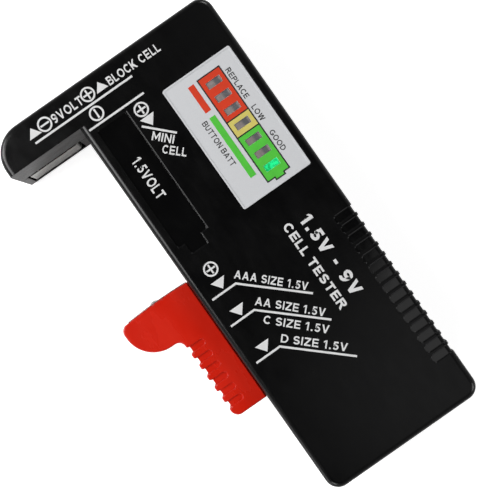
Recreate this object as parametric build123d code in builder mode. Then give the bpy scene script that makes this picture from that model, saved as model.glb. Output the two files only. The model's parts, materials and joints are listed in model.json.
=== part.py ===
from build123d import *
import math
import os

os.makedirs("parts", exist_ok=True)

# A hand-held dry-cell tester, in millimetres. It lies on its back: the rear face is on Z = 0,
# +Z comes out of the printed front, +Y runs towards the end that carries the contact arm, and
# +X is to the right seen from the front. The origin is the centre of the bottom of the whole box.

# ---------------------------------------------------------------- overall size
width = 60.0
length = 110.0
depth = 25.0
right = width / 2
left = -width / 2
top = length / 2
bottom = -length / 2

# ---------------------------------------------------------------- housing
face_z = 24.9            # front face; the raised border of the label reaches the full depth
seam_z = 12.0            # where the two shells meet
trunk_left = -10.75      # left wall of the main body
arm_under = 45.7         # underside of the contact arm
wall = 1.6
face_wall = 1.7
corner_r = 3.3
arm_tip_r = 7.5
edge_r = 1.4
seam_gap = 0.2           # height of the shadow line at the seam
seam_inset = 0.25        # depth of the shadow line

trunk_width = right - trunk_left
trunk_mid_x = (right + trunk_left) / 2
arm_height = top - arm_under
inner_left = trunk_left + wall
inner_right = right - wall
inner_top = top - wall
inner_bottom = bottom + wall
inner_front = face_z - face_wall
inner_rear = face_wall

# ---------------------------------------------------------------- slider
slider_travel = 24.0
running_gap = 0.3
slider_front = 20.0
slider_rear = 4.0
slider_top = 3.4
slider_crown = 3.75
slider_bottom = -28.7
slider_left = -29.95
slider_inner = trunk_left - 0.35
stem_left = -19.8
lobe_r = 7.55
lobe_mid_y = 0.8
heel_r = 2.0
throat_r = 1.7
slider_edge_r = 0.35
notch_count = 6
notch_pitch = 3.08
notch_width = 1.6
notch_depth = 0.75
notch_first_y = -9.85
notch_corner_r = 0.3
land_corner_r = 0.42
finger_groove_end_x = -15.4
finger_groove_depth = 0.3
neck_top = -3.0
neck_bottom = -21.0
neck_half = 3.6
slider_mid_z = (slider_front + slider_rear) / 2
slot_half = neck_half + 0.4
stop_gap = 0.1
carriage_top = -1.0
carriage_bottom = -23.0
carriage_half = 7.0
carriage_left = inner_left + running_gap
carriage_right = -5.9
lug_thickness = 1.2
lug_height = 4.6
lug_half = 1.6
lug_hole_r = 0.75

# ---------------------------------------------------------------- return spring
spring_x = -6.5
spring_wire_r = 0.25
spring_r = 1.95
spring_turns = 27
spring_foot = 5.6
spring_head = 38.3
anchor_y = 43.4
anchor_r = 0.9
anchor_low = 3.0
anchor_high = 21.0
anchor_chamfer = 0.2
socket_wall = 1.1
socket_gap = 0.02
socket_end_gap = 0.1
front_socket_z = 16.5
rear_socket_z = 7.5

# ---------------------------------------------------------------- contacts
sheet = 0.4
strip_left = -27.7
strip_right = -13.7
strip_bend = 0.8
strip_y = arm_under + 0.35  # middle of the sheet, so the strip lies almost flush
strip_rear = 2.8
strip_front = 10.6
recess_left = -28.4
recess_right = -13.2
recess_rear = 2.5
recess_front = 12.8
recess_deep = 0.95
tab_top = 49.4
snap_contact_x = (-18.55, -1.45)
snap_width = 7.5
snap_rear = 6.0
snap_front = 18.0
snap_tab = 4.0
snap_recess = 0.5
snap_tab_length = 3.4
contact_gap = 0.1
side_contact_y = (35.5, 44.0)
side_contact_z = (5.5, 15.0)
side_recess = 0.5
side_tab_length = 3.4
side_tab_height = 2.8

# ---------------------------------------------------------------- label, windows and lights
label_left = 9.3
label_right = 27.75
label_low = 9.35
label_high = 41.95
label_floor = 24.5
label_face = 24.92
label_border = 0.45
label_corner_r = 0.5
label_gap = 0.08
window_x = 20.25
window_y = (36.9, 33.3, 29.7, 25.65, 21.35, 17.8, 14.2)
window_length = 3.7
window_width = 1.6
window_top = 24.8
window_bottom = 24.35
window_gap = 0.03
aperture_left = 17.3
aperture_right = 23.2
aperture_low = 11.8
aperture_high = 39.3
board_left = 5.0
board_right = 27.0
board_low = -8.0
board_high = 46.3
board_top = 20.6
board_thick = 1.2
board_bottom = board_top - board_thick

# ---------------------------------------------------------------- pictogram, grip and screws
picto_left = -8.0
picto_right = 0.2
picto_low = 10.75
picto_high = 43.0
picto_r = 0.8
picto_nub_left = -6.2
picto_nub_right = -1.65
picto_nub_low = 7.95
picto_nub_r = 0.5
picto_deep = 0.3
grip_count = 15
grip_pitch = 2.74
grip_first_y = -4.5
grip_width = 1.94
grip_left = 24.55
grip_deep = 0.35
grip_overrun = 4.0       # how far the cutting prisms pass the right edge
housing_screws_at = ((25.4, 50.4), (25.4, -50.4), (-5.8, -50.9), (-24.6, 50.5))
boss_r = 2.3
boss_step = 0.5
boss_step_h = 1.2
screw_head_r = 1.9
screw_head_h = 1.4
screw_shank_r = 1.0
screw_seat_z = 6.0
screw_tip_z = 18.0
well_r = 2.1
board_screws_at = ((7.2, 43.9), (24.8, 43.9), (7.2, -5.6), (24.8, -5.6))
board_screw_r = 0.8
board_head_r = 1.5
board_boss_r = 1.9
board_boss_bore = 2.0
pilot_gap = 0.02
shank_clearance = 0.15

# ---------------------------------------------------------------- ribs and tongues inside the housing
rib_left = carriage_right + running_gap + 0.1
rib_right = rib_left + 1.0
rib_low = inner_bottom + 4.0
rib_high = 0.0
root = 0.2               # how far a rib or post is sunk into the rear wall
tongue_thick = 0.9
tongue_gap = 0.1
tongue_foot_z = 8.0
tongue_tip_z = 14.0
tongue_length = 10.0
side_tongue_y = (-25.0, 25.0)
bottom_tongue_x = 11.0
top_tongue_x = 13.0


def rounded_block(x_low, x_high, y_low, y_high, z_low, z_high, radius):
    """A block with rounded upright corners."""
    with BuildPart() as block:
        with BuildSketch(Plane.XY.offset(z_low)):
            with Locations(((x_low + x_high) / 2, (y_low + y_high) / 2)):
                RectangleRounded(x_high - x_low, y_high - y_low, radius)
        extrude(amount=z_high - z_low)
    return block.part


def plain_block(x_low, x_high, y_low, y_high, z_low, z_high):
    """A block with square corners."""
    with BuildPart() as block:
        with BuildSketch(Plane.XY.offset(z_low)):
            with Locations(((x_low + x_high) / 2, (y_low + y_high) / 2)):
                Rectangle(x_high - x_low, y_high - y_low)
        extrude(amount=z_high - z_low)
    return block.part


def housing_form(inset, low_z, high_z, radius):
    """The L-shaped body, moved inwards by inset, between two heights, with its edges rounded."""
    with BuildPart() as trunk:
        with BuildSketch(Plane.XY.offset(low_z)):
            with Locations((trunk_mid_x, 0)):
                RectangleRounded(trunk_width - 2 * inset, length - 2 * inset, corner_r - inset)
        extrude(amount=high_z - low_z)
        if radius > 0:
            fillet(trunk.faces().filter_by(Axis.Z).edges(), radius)
    with BuildPart() as arm:
        with BuildSketch(Plane.XY.offset(low_z)) as arm_plan:
            with BuildLine():
                Polyline(
                    (left + inset, arm_under + inset),
                    (0, arm_under + inset),
                    (0, top - inset),
                    (left + inset, top - inset),
                    close=True,
                )
            make_face()
            tip = arm_plan.vertices().group_by(Axis.X)[0].sort_by(Axis.Y)[-1]
            fillet(tip, min(arm_tip_r, arm_height - inset - 0.5) - inset)
        extrude(amount=high_z - low_z)
        if radius > 0:
            rim = arm.faces().sort_by(Axis.Z)[-1].edges()
            fillet(rim.sort_by(Axis.Y)[1:].sort_by(Axis.X)[:-1], radius)
            heel = arm.faces().sort_by(Axis.Z)[0].edges()
            fillet(heel.sort_by(Axis.X)[:-1], radius)
    with BuildPart() as form:
        add(trunk.part)
        add(arm.part)
    return form.part


def contact_pockets():
    """Every recess and slit that a contact plate sits in, as one solid to cut from the shells."""
    with BuildPart() as pockets:
        add(plain_block(recess_left, recess_right, arm_under - 1, arm_under + recess_deep,
                        recess_rear, recess_front))
        slit_high = arm_under + wall + contact_gap
        for slit_left, slit_right in ((strip_left - 0.5, strip_left + 0.5),
                                      (strip_right - 2 * strip_bend, recess_right)):
            add(plain_block(slit_left, slit_right, arm_under, slit_high, strip_rear - 2 * contact_gap,
                            strip_front + 2 * contact_gap))
        for contact_x in snap_contact_x:
            plate_left = contact_x - snap_width / 2 - contact_gap
            add(plain_block(plate_left, contact_x + snap_width / 2 + contact_gap,
                            top - snap_recess, top + 1, snap_rear - contact_gap, snap_front + contact_gap))
            add(plain_block(plate_left, plate_left + 2 * sheet, top - wall - contact_gap, top,
                            seam_z - snap_tab / 2 - 2 * contact_gap,
                            seam_z + snap_tab / 2 + 2 * contact_gap))
        plate_low = side_contact_y[0] - contact_gap
        plate_rear = side_contact_z[0] - contact_gap
        add(plain_block(trunk_left - 1, trunk_left + side_recess, plate_low,
                        side_contact_y[1] + contact_gap, plate_rear, side_contact_z[1] + contact_gap))
        add(plain_block(trunk_left, trunk_left + wall + contact_gap, plate_low, plate_low + 2 * sheet,
                        plate_rear, plate_rear + side_tab_height + 4 * contact_gap))
    return pockets.part


def neck_slot():
    """The long slot in the left wall that the slider's neck runs in."""
    return plain_block(trunk_left - 1, inner_left + running_gap / 2, neck_bottom - slider_travel - stop_gap,
                       neck_top + stop_gap, slider_mid_z - slot_half, slider_mid_z + slot_half)


def grip_cuts(z_low, z_high):
    """Fifteen U-ended prisms across the right edge."""
    with BuildPart() as cuts:
        with BuildSketch(Plane.XY.offset(z_low)):
            for index in range(grip_count):
                groove_y = grip_first_y - index * grip_pitch
                with Locations(((grip_left + right + grip_overrun) / 2, groove_y)):
                    SlotOverall(right + grip_overrun - grip_left, grip_width)
        extrude(amount=z_high - z_low)
    return cuts.part


def grip_floor(low_z, high_z):
    """The material under the grip grooves, with the same rounded edge as the housing."""
    floor_low = grip_first_y - grip_count * grip_pitch
    floor_high = grip_first_y + grip_pitch
    with BuildPart() as block:
        add(plain_block(inner_right - 6, right - grip_deep, floor_low, floor_high, low_z, high_z))
        outer_edges = block.edges().filter_by(Axis.Y).group_by(Axis.X)[-1]
        fillet(outer_edges, edge_r - grip_deep)
    return block.part


# ================================================================ front shell
outer_form = housing_form(0, 0, face_z, edge_r)
cavity = housing_form(wall, inner_rear, inner_front, 0)
pockets = contact_pockets()
gripped_form = outer_form - grip_cuts(0, face_z) + grip_floor(grip_deep, face_z - grip_deep)

with BuildPart() as front_shell:
    add(gripped_form)
    split(bisect_by=Plane.XY.offset(seam_z), keep=Keep.TOP)
    add(cavity, mode=Mode.SUBTRACT)
    # posts for the housing screws
    with BuildSketch(Plane.XY.offset(seam_z)):
        with Locations(*housing_screws_at):
            Circle(boss_r)
    extrude(amount=inner_front - seam_z)
    # posts for the circuit board
    with BuildSketch(Plane.XY.offset(board_top)):
        with Locations(*board_screws_at):
            Circle(board_boss_r)
    extrude(amount=inner_front - board_top)
    # rib that keeps the slider's carriage against the wall
    add(plain_block(rib_left, rib_right, rib_low, rib_high, slider_mid_z + neck_half, inner_front))
    # socket for the spring's anchor pin
    with BuildSketch(Plane.XY.offset(front_socket_z)):
        with Locations((spring_x, anchor_y)):
            Circle(anchor_r + socket_wall)
    extrude(amount=inner_front - front_socket_z)
    with BuildSketch(Plane.XY.offset(front_socket_z)):
        with Locations((spring_x, anchor_y)):
            Circle(anchor_r + socket_gap)
    extrude(amount=anchor_high + socket_end_gap - front_socket_z, mode=Mode.SUBTRACT)
    # pilot holes
    with BuildSketch(Plane.XY.offset(seam_z)):
        with Locations(*housing_screws_at):
            Circle(screw_shank_r + pilot_gap)
    extrude(amount=screw_tip_z + 1 - seam_z, mode=Mode.SUBTRACT)
    with BuildSketch(Plane.XY.offset(board_top)):
        with Locations(*board_screws_at):
            Circle(board_screw_r + pilot_gap)
    extrude(amount=board_boss_bore, mode=Mode.SUBTRACT)
    add(pockets, mode=Mode.SUBTRACT)
    add(neck_slot(), mode=Mode.SUBTRACT)
    # seat of the label and the opening for the lights
    with BuildSketch(Plane.XY.offset(label_floor)):
        with Locations(((label_left + label_right) / 2, (label_low + label_high) / 2)):
            RectangleRounded(label_right - label_left + 2 * label_gap,
                             label_high - label_low + 2 * label_gap, label_corner_r)
    extrude(amount=1, mode=Mode.SUBTRACT)
    with BuildSketch(Plane.XY.offset(inner_front - 1)):
        with Locations(((aperture_left + aperture_right) / 2, (aperture_low + aperture_high) / 2)):
            Rectangle(aperture_right - aperture_left, aperture_high - aperture_low)
    extrude(amount=4, mode=Mode.SUBTRACT)
    # sunk outline of a cell, with its positive end downwards
    with BuildSketch(Plane.XY.offset(face_z - picto_deep)):
        with Locations(((picto_left + picto_right) / 2, (picto_low + picto_high) / 2)):
            RectangleRounded(picto_right - picto_left, picto_high - picto_low, picto_r)
        nub_high = picto_low + 2 * picto_nub_r
        with Locations(((picto_nub_left + picto_nub_right) / 2, (picto_nub_low + nub_high) / 2)):
            RectangleRounded(picto_nub_right - picto_nub_left, nub_high - picto_nub_low, picto_nub_r)
    extrude(amount=1, mode=Mode.SUBTRACT)
front_shell.part.label = "front_shell"
export_step(front_shell.part, "parts/front_shell.step")

# ================================================================ rear shell
seam_band = housing_form(seam_inset, seam_z - seam_gap, seam_z, 0)

with BuildPart() as rear_shell:
    add(gripped_form)
    split(bisect_by=Plane.XY.offset(seam_z - seam_gap), keep=Keep.BOTTOM)
    add(seam_band)
    add(cavity, mode=Mode.SUBTRACT)
    # posts for the housing screws
    with BuildSketch(Plane.XY.offset(inner_rear - root)):
        with Locations(*housing_screws_at):
            Circle(boss_r + boss_step)
    extrude(amount=screw_seat_z + boss_step_h - inner_rear + root)
    with BuildSketch(Plane.XY.offset(screw_seat_z)):
        with Locations(*housing_screws_at):
            Circle(boss_r)
    extrude(amount=seam_z - screw_seat_z)
    # rib that keeps the slider's carriage against the wall
    add(plain_block(rib_left, rib_right, rib_low, rib_high, inner_rear - root, slider_mid_z - neck_half))
    # socket for the spring's anchor pin
    with BuildSketch(Plane.XY.offset(inner_rear - root)):
        with Locations((spring_x, anchor_y)):
            Circle(anchor_r + socket_wall)
    extrude(amount=rear_socket_z - inner_rear + root)
    with BuildSketch(Plane.XY.offset(anchor_low - socket_end_gap)):
        with Locations((spring_x, anchor_y)):
            Circle(anchor_r + socket_gap)
    extrude(amount=rear_socket_z - anchor_low + 1, mode=Mode.SUBTRACT)
    # tongues that locate the front shell
    half = tongue_length / 2
    for foot, z_low, z_high in ((tongue_gap, tongue_foot_z, seam_z), (-tongue_gap, seam_z - 1, tongue_tip_z)):
        for tongue_y in side_tongue_y:
            add(plain_block(inner_right - tongue_thick, inner_right + foot, tongue_y - half,
                            tongue_y + half, z_low, z_high))
        add(plain_block(bottom_tongue_x - half, bottom_tongue_x + half, inner_bottom - foot,
                        inner_bottom + tongue_thick, z_low, z_high))
        add(plain_block(top_tongue_x - half, top_tongue_x + half, inner_top - tongue_thick,
                        inner_top + foot, z_low, z_high))
    # screw wells and clearance holes
    with BuildSketch(Plane.XY):
        with Locations(*housing_screws_at):
            Circle(well_r)
    extrude(amount=screw_seat_z, mode=Mode.SUBTRACT)
    with BuildSketch(Plane.XY):
        with Locations(*housing_screws_at):
            Circle(screw_shank_r + shank_clearance)
    extrude(amount=seam_z + 1, mode=Mode.SUBTRACT)
    add(pockets, mode=Mode.SUBTRACT)
    add(neck_slot(), mode=Mode.SUBTRACT)
rear_shell.part.label = "rear_shell"
export_step(rear_shell.part, "parts/rear_shell.step")

# ================================================================ slider
with BuildPart() as slider:
    with BuildSketch(Plane.XY.offset(slider_rear)) as slider_plan:
        with BuildLine():
            crown_left = (slider_left + 1.3, slider_top - 0.02)
            crown_mid = ((slider_left + slider_inner) / 2, slider_crown)
            crown_right = (slider_inner, slider_top + 0.1)
            ThreePointArc(crown_left, crown_mid, crown_right)
            heel_y = slider_bottom
            Line(crown_right, (slider_inner, heel_y))
            Line((slider_inner, heel_y), (stem_left + heel_r, heel_y))
            RadiusArc((stem_left + heel_r, heel_y), (stem_left, heel_y + heel_r), heel_r)
            lobe_low = lobe_mid_y - lobe_r
            Line((stem_left, heel_y + heel_r), (stem_left, lobe_low - throat_r))
            RadiusArc((stem_left, lobe_low - throat_r), (stem_left - throat_r, lobe_low), -throat_r)
            lobe_x = slider_left + lobe_r
            Line((stem_left - throat_r, lobe_low), (lobe_x, lobe_low))
            RadiusArc((lobe_x, lobe_low), (slider_left, lobe_mid_y), lobe_r)
            Line((slider_left, lobe_mid_y), (slider_left, lobe_mid_y + 0.9))
            ThreePointArc((slider_left, lobe_mid_y + 0.9), (slider_left + 0.35, slider_top - 0.75),
                          crown_left)
        make_face()
        for index in range(notch_count):
            with Locations((stem_left, notch_first_y - index * notch_pitch)):
                RectangleRounded(2 * notch_depth, notch_width, notch_corner_r, mode=Mode.SUBTRACT)
    extrude(amount=slider_front - slider_rear)
    last_notch_y = notch_first_y - (notch_count - 1) * notch_pitch
    stem_edges = slider.edges().filter_by(Axis.Z).filter_by_position(
        Axis.X, stem_left - 0.01, stem_left + 0.01)
    fillet(stem_edges.filter_by_position(Axis.Y, last_notch_y - notch_width, notch_first_y + notch_width),
           land_corner_r)
    fillet(slider.faces().filter_by(Axis.Z).edges(), slider_edge_r)
    # finger grooves on both faces
    groove_length = finger_groove_end_x - stem_left + 3
    for floor_z in (slider_front - finger_groove_depth, slider_rear - 1):
        with BuildSketch(Plane.XY.offset(floor_z)):
            for index in range(notch_count):
                with Locations((finger_groove_end_x - groove_length / 2,
                                notch_first_y - index * notch_pitch)):
                    SlotOverall(groove_length, notch_width)
        extrude(amount=1 + finger_groove_depth, mode=Mode.SUBTRACT)
    # neck through the wall, carriage behind it and the lug that the spring hooks on
    neck_mid_y = (neck_top + neck_bottom) / 2
    add(plain_block(slider_inner - 1, carriage_left + 1, neck_bottom, neck_top,
                    slider_mid_z - neck_half, slider_mid_z + neck_half))
    add(rounded_block(carriage_left, carriage_right, carriage_bottom, carriage_top,
                      slider_mid_z - carriage_half, slider_mid_z + carriage_half, 0.5))
    add(plain_block(spring_x - lug_thickness / 2, spring_x + lug_thickness / 2, carriage_top - 1,
                    carriage_top + lug_height, slider_mid_z - lug_half, slider_mid_z + lug_half))
    with BuildSketch(Plane.YZ.offset(spring_x - 2)):
        with Locations((carriage_top + lug_height - 1.6, slider_mid_z)):
            Circle(lug_hole_r)
    extrude(amount=4, mode=Mode.SUBTRACT)
slider.part.label = "slider"
export_step(slider.part, "parts/slider.step")


# ================================================================ contact leaf on the slider
leaf_left = slider_left + 1.9
leaf_right = slider_inner - 0.9
leaf_half = 4.0
leaf_thick = 0.25
dome_x = -20.85
dome_r = 1.2
dome_h = 0.52

with BuildPart() as slider_contact:
    with BuildSketch(Plane.XY.offset(slider_mid_z - leaf_half)):
        with BuildLine():
            outer_leaf = ThreePointArc(
                (crown_left[0], crown_left[1] + leaf_thick),
                (crown_mid[0], crown_mid[1] + leaf_thick),
                (crown_right[0], crown_right[1] + leaf_thick),
            )
            Line(crown_right, (crown_right[0], crown_right[1] + leaf_thick))
            ThreePointArc(crown_left, crown_mid, crown_right)
            Line(crown_left, (crown_left[0], crown_left[1] + leaf_thick))
        make_face()
        with Locations(((leaf_left + leaf_right) / 2, slider_top)):
            Rectangle(leaf_right - leaf_left, 4, mode=Mode.INTERSECT)
    extrude(amount=2 * leaf_half)
    # the dome that touches the cell
    dome_ball_r = (dome_r ** 2 + dome_h ** 2) / (2 * dome_h)
    dome_base_y = slider_crown + leaf_thick - 0.04
    dome_plane = Plane(origin=(dome_x, dome_base_y, slider_mid_z), x_dir=(1, 0, 0), z_dir=(0, 0, 1))
    with BuildSketch(dome_plane):
        with BuildLine():
            Line((0, 0), (dome_r, 0))
            RadiusArc((dome_r, 0), (0, dome_h), -dome_ball_r)
            Line((0, dome_h), (0, 0))
        make_face()
    revolve(axis=Axis((dome_x, dome_base_y, slider_mid_z), (0, 1, 0)))
slider_contact.part.label = "slider_contact"
export_step(slider_contact.part, "parts/slider_contact.step")

# ================================================================ return spring
spring_pitch = (spring_head - spring_foot) / spring_turns

with BuildPart() as return_spring:
    with BuildLine():
        coil = Helix(
            pitch=spring_pitch,
            height=spring_head - spring_foot,
            radius=spring_r,
            center=(spring_x, spring_foot, slider_mid_z),
            direction=(0, 1, 0),
        )
    with BuildSketch(Plane(origin=coil @ 0, z_dir=coil % 0)):
        Circle(spring_wire_r)
    sweep(path=coil, is_frenet=True)
return_spring.part.label = "return_spring"
export_step(return_spring.part, "parts/return_spring.step")

# ================================================================ anchor pin of the spring
with BuildPart() as anchor_pin:
    with BuildSketch(Plane.XY.offset(anchor_low)):
        with Locations((spring_x, anchor_y)):
            Circle(anchor_r)
    extrude(amount=anchor_high - anchor_low)
    chamfer(anchor_pin.edges(), anchor_chamfer)
anchor_pin.part.label = "spring_anchor_pin"
export_step(anchor_pin.part, "parts/spring_anchor_pin.step")

# ================================================================ contact strip under the arm
with BuildPart() as arm_contact:
    with BuildSketch(Plane.XY.offset(strip_rear)):
        with BuildLine() as strip_path:
            Polyline(
                (strip_left, tab_top),
                (strip_left, strip_y),
                (strip_right - strip_bend, strip_y),
                (strip_right, strip_y + strip_bend),
                (strip_right, tab_top),
            )
        trace(strip_path.line, line_width=sheet)
    extrude(amount=strip_front - strip_rear)
arm_contact.part.label = "arm_contact_strip"
export_step(arm_contact.part, "parts/arm_contact_strip.step")

# ================================================================ snap contacts on the top edge
snap_low = top - snap_recess
snap_high = snap_low + sheet
for snap_name, snap_x in zip(("nine_volt_negative_contact", "nine_volt_positive_contact"), snap_contact_x):
    with BuildPart() as snap_contact:
        with BuildSketch(Plane.XY.offset(snap_rear)):
            with Locations((snap_x, (snap_low + snap_high) / 2)):
                Rectangle(snap_width, sheet)
        extrude(amount=snap_front - snap_rear)
        with BuildSketch(Plane.XY.offset(seam_z - snap_tab / 2)):
            with Locations((snap_x - snap_width / 2 + sheet / 2, snap_high - snap_tab_length / 2)):
                Rectangle(sheet, snap_tab_length)
        extrude(amount=snap_tab)
    snap_contact.part.label = snap_name
    export_step(snap_contact.part, "parts/" + snap_name + ".step")

# ================================================================ small-cell contact on the left wall
side_low, side_high = side_contact_y
side_rear, side_front = side_contact_z
with BuildPart() as side_contact:
    with BuildSketch(Plane.XY.offset(side_rear)):
        with Locations((trunk_left + side_recess - sheet / 2, (side_low + side_high) / 2)):
            Rectangle(sheet, side_high - side_low)
    extrude(amount=side_front - side_rear)
    side_tab_x = trunk_left + side_recess - sheet + side_tab_length / 2
    with BuildSketch(Plane.XY.offset(side_rear)):
        with Locations((side_tab_x, side_low + sheet / 2)):
            Rectangle(side_tab_length, sheet)
    extrude(amount=side_tab_height)
side_contact.part.label = "small_cell_contact"
export_step(side_contact.part, "parts/small_cell_contact.step")

# ================================================================ indicator label and its windows
label_mid = ((label_left + label_right) / 2, (label_low + label_high) / 2)
with BuildPart() as indicator_label:
    with BuildSketch(Plane.XY.offset(label_floor)):
        with Locations(label_mid):
            RectangleRounded(label_right - label_left, label_high - label_low, label_corner_r)
    extrude(amount=depth - label_floor)
    with BuildSketch(Plane.XY.offset(label_face)):
        with Locations(label_mid):
            RectangleRounded(label_right - label_left - 2 * label_border,
                             label_high - label_low - 2 * label_border, 0.3)
    extrude(amount=1, mode=Mode.SUBTRACT)
    with BuildSketch(Plane.XY.offset(label_floor)):
        for light_y in window_y:
            with Locations((window_x, light_y)):
                RectangleRounded(window_length, window_width, 0.2)
    extrude(amount=1, mode=Mode.SUBTRACT)
indicator_label.part.label = "indicator_label"
export_step(indicator_label.part, "parts/indicator_label.step")

for number, light_y in enumerate(window_y, start=1):
    with BuildPart() as window:
        with BuildSketch(Plane.XY.offset(window_bottom)):
            with Locations((window_x, light_y)):
                RectangleRounded(window_length - 2 * window_gap, window_width - 2 * window_gap, 0.18)
        extrude(amount=window_top - window_bottom)
    window.part.label = "window_" + str(number)
    export_step(window.part, "parts/window_" + str(number) + ".step")

# ================================================================ light baffle
baffle_top = window_bottom - 0.05
baffle_foot = board_top + 0.1
pocket_gap = 0.1
with BuildPart() as light_baffle:
    with BuildSketch(Plane.XY.offset(baffle_foot)):
        with Locations(((aperture_left + aperture_right) / 2, (aperture_low + aperture_high) / 2)):
            Rectangle(aperture_right - aperture_left - 0.3, aperture_high - aperture_low - 0.3)
    extrude(amount=baffle_top - baffle_foot)
    with BuildSketch(Plane.XY.offset(baffle_foot)):
        for light_y in window_y:
            with Locations((window_x, light_y)):
                Rectangle(window_length + pocket_gap, window_width + pocket_gap)
    extrude(amount=baffle_top - baffle_foot, mode=Mode.SUBTRACT)
light_baffle.part.label = "light_baffle"
export_step(light_baffle.part, "parts/light_baffle.step")

# ================================================================ circuit board and what it carries
with BuildPart() as circuit_board:
    with BuildSketch(Plane.XY.offset(board_bottom)):
        with Locations(((board_left + board_right) / 2, (board_low + board_high) / 2)):
            RectangleRounded(board_right - board_left, board_high - board_low, 1.0)
        with Locations(*board_screws_at):
            Circle(board_screw_r + 0.25, mode=Mode.SUBTRACT)
    extrude(amount=board_thick)
circuit_board.part.label = "circuit_board"
export_step(circuit_board.part, "parts/circuit_board.step")

led_length = 3.2
led_width = 1.5
led_base_h = 0.5
led_lens_h = 0.6
for number, light_y in enumerate(window_y, start=1):
    with BuildPart() as led:
        with BuildSketch(Plane.XY.offset(board_top)):
            with Locations((window_x, light_y)):
                Rectangle(led_length, led_width)
        extrude(amount=led_base_h)
        with BuildSketch(Plane.XY.offset(board_top + led_base_h)):
            with Locations((window_x, light_y)):
                Rectangle(led_length - 1.1, led_width)
        extrude(amount=led_lens_h, taper=8)
    led.part.label = "led_" + str(number)
    export_step(led.part, "parts/led_" + str(number) + ".step")


def leaded_chip(centre_x, centre_y, body_length, body_width, body_height, lead_count):
    """A gull-wing chip on the back of the board, its leads along both long sides."""
    lead_pitch = body_length / (lead_count + 0.4)
    with BuildPart() as chip:
        with BuildSketch(Plane.XY.offset(board_bottom - 0.15)):
            with Locations((centre_x, centre_y)):
                Rectangle(body_width, body_length)
        extrude(amount=-body_height)
        with BuildSketch(Plane.XY.offset(board_bottom)):
            for index in range(lead_count):
                lead_y = centre_y + (index - (lead_count - 1) / 2) * lead_pitch
                with Locations((centre_x, lead_y)):
                    Rectangle(body_width + 2.0, 0.42)
        extrude(amount=-0.2)
        with BuildSketch(Plane.XY.offset(board_bottom - 0.2)):
            for index in range(lead_count):
                lead_y = centre_y + (index - (lead_count - 1) / 2) * lead_pitch
                with Locations((centre_x, lead_y)):
                    Rectangle(body_width + 0.9, 0.42)
        extrude(amount=-0.7)
    return chip.part


comparator_chip = leaded_chip(20.0, 6.0, 8.6, 3.9, 1.4, 7)
comparator_chip.label = "comparator_chip"
export_step(comparator_chip, "parts/comparator_chip.step")
boost_chip = leaded_chip(13.0, 34.0, 2.9, 1.6, 1.1, 3)
boost_chip.label = "boost_chip"
export_step(boost_chip, "parts/boost_chip.step")

with BuildPart() as inductor:
    with BuildSketch(Plane.XY.offset(board_bottom)):
        with Locations((18.5, 34.0)):
            RectangleRounded(4.0, 4.0, 0.6)
    extrude(amount=-2.1)
    with BuildSketch(Plane.XY.offset(board_bottom - 2.1)):
        with Locations((18.5, 34.0)):
            Circle(1.7)
    extrude(amount=-0.3)
inductor.part.label = "inductor"
export_step(inductor.part, "parts/inductor.step")

capacitor_at = (13.0, 26.0)
with BuildPart() as capacitor:
    with BuildSketch(Plane.XY.offset(board_bottom)):
        with Locations(capacitor_at):
            RectangleRounded(4.3, 4.3, 0.5)
    extrude(amount=-0.9)
    with BuildSketch(Plane.XY.offset(board_bottom - 0.9)):
        with Locations(capacitor_at):
            Circle(2.0)
    extrude(amount=-4.2)
    fillet(capacitor.faces().sort_by(Axis.Z)[0].edges(), 0.3)
capacitor.part.label = "capacitor"
export_step(capacitor.part, "parts/capacitor.step")

resistor_at = ((12.0, 12.0), (12.0, 9.0), (12.0, 6.0), (12.0, 3.0), (12.0, 0.0), (19.0, 24.0), (19.0, 20.5))
for number, (resistor_x, resistor_y) in enumerate(resistor_at, start=1):
    with BuildPart() as resistor:
        with BuildSketch(Plane.XY.offset(board_bottom)):
            with Locations((resistor_x, resistor_y)):
                Rectangle(2.0, 1.25)
        extrude(amount=-0.45)
        with BuildSketch(Plane.XY.offset(board_bottom)):
            with Locations((resistor_x - 0.8, resistor_y), (resistor_x + 0.8, resistor_y)):
                Rectangle(0.45, 1.3)
        extrude(amount=-0.5)
    resistor.part.label = "resistor_" + str(number)
    export_step(resistor.part, "parts/resistor_" + str(number) + ".step")

# ================================================================ wires
wire_r = 0.5
wire_bend = 1.6


def wire(points):
    """An insulated wire along straight runs and round bends."""
    with BuildPart() as strand:
        with BuildLine() as route:
            FilletPolyline(*points, radius=wire_bend)
        path = route.wires()[0]
        with BuildSketch(Plane(origin=path @ 0, z_dir=path % 0)):
            Circle(wire_r)
        sweep(path=path)
    run = path.length * math.pi * wire_r ** 2
    print("wire", round(strand.part.volume / run, 4))
    return strand.part


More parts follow.
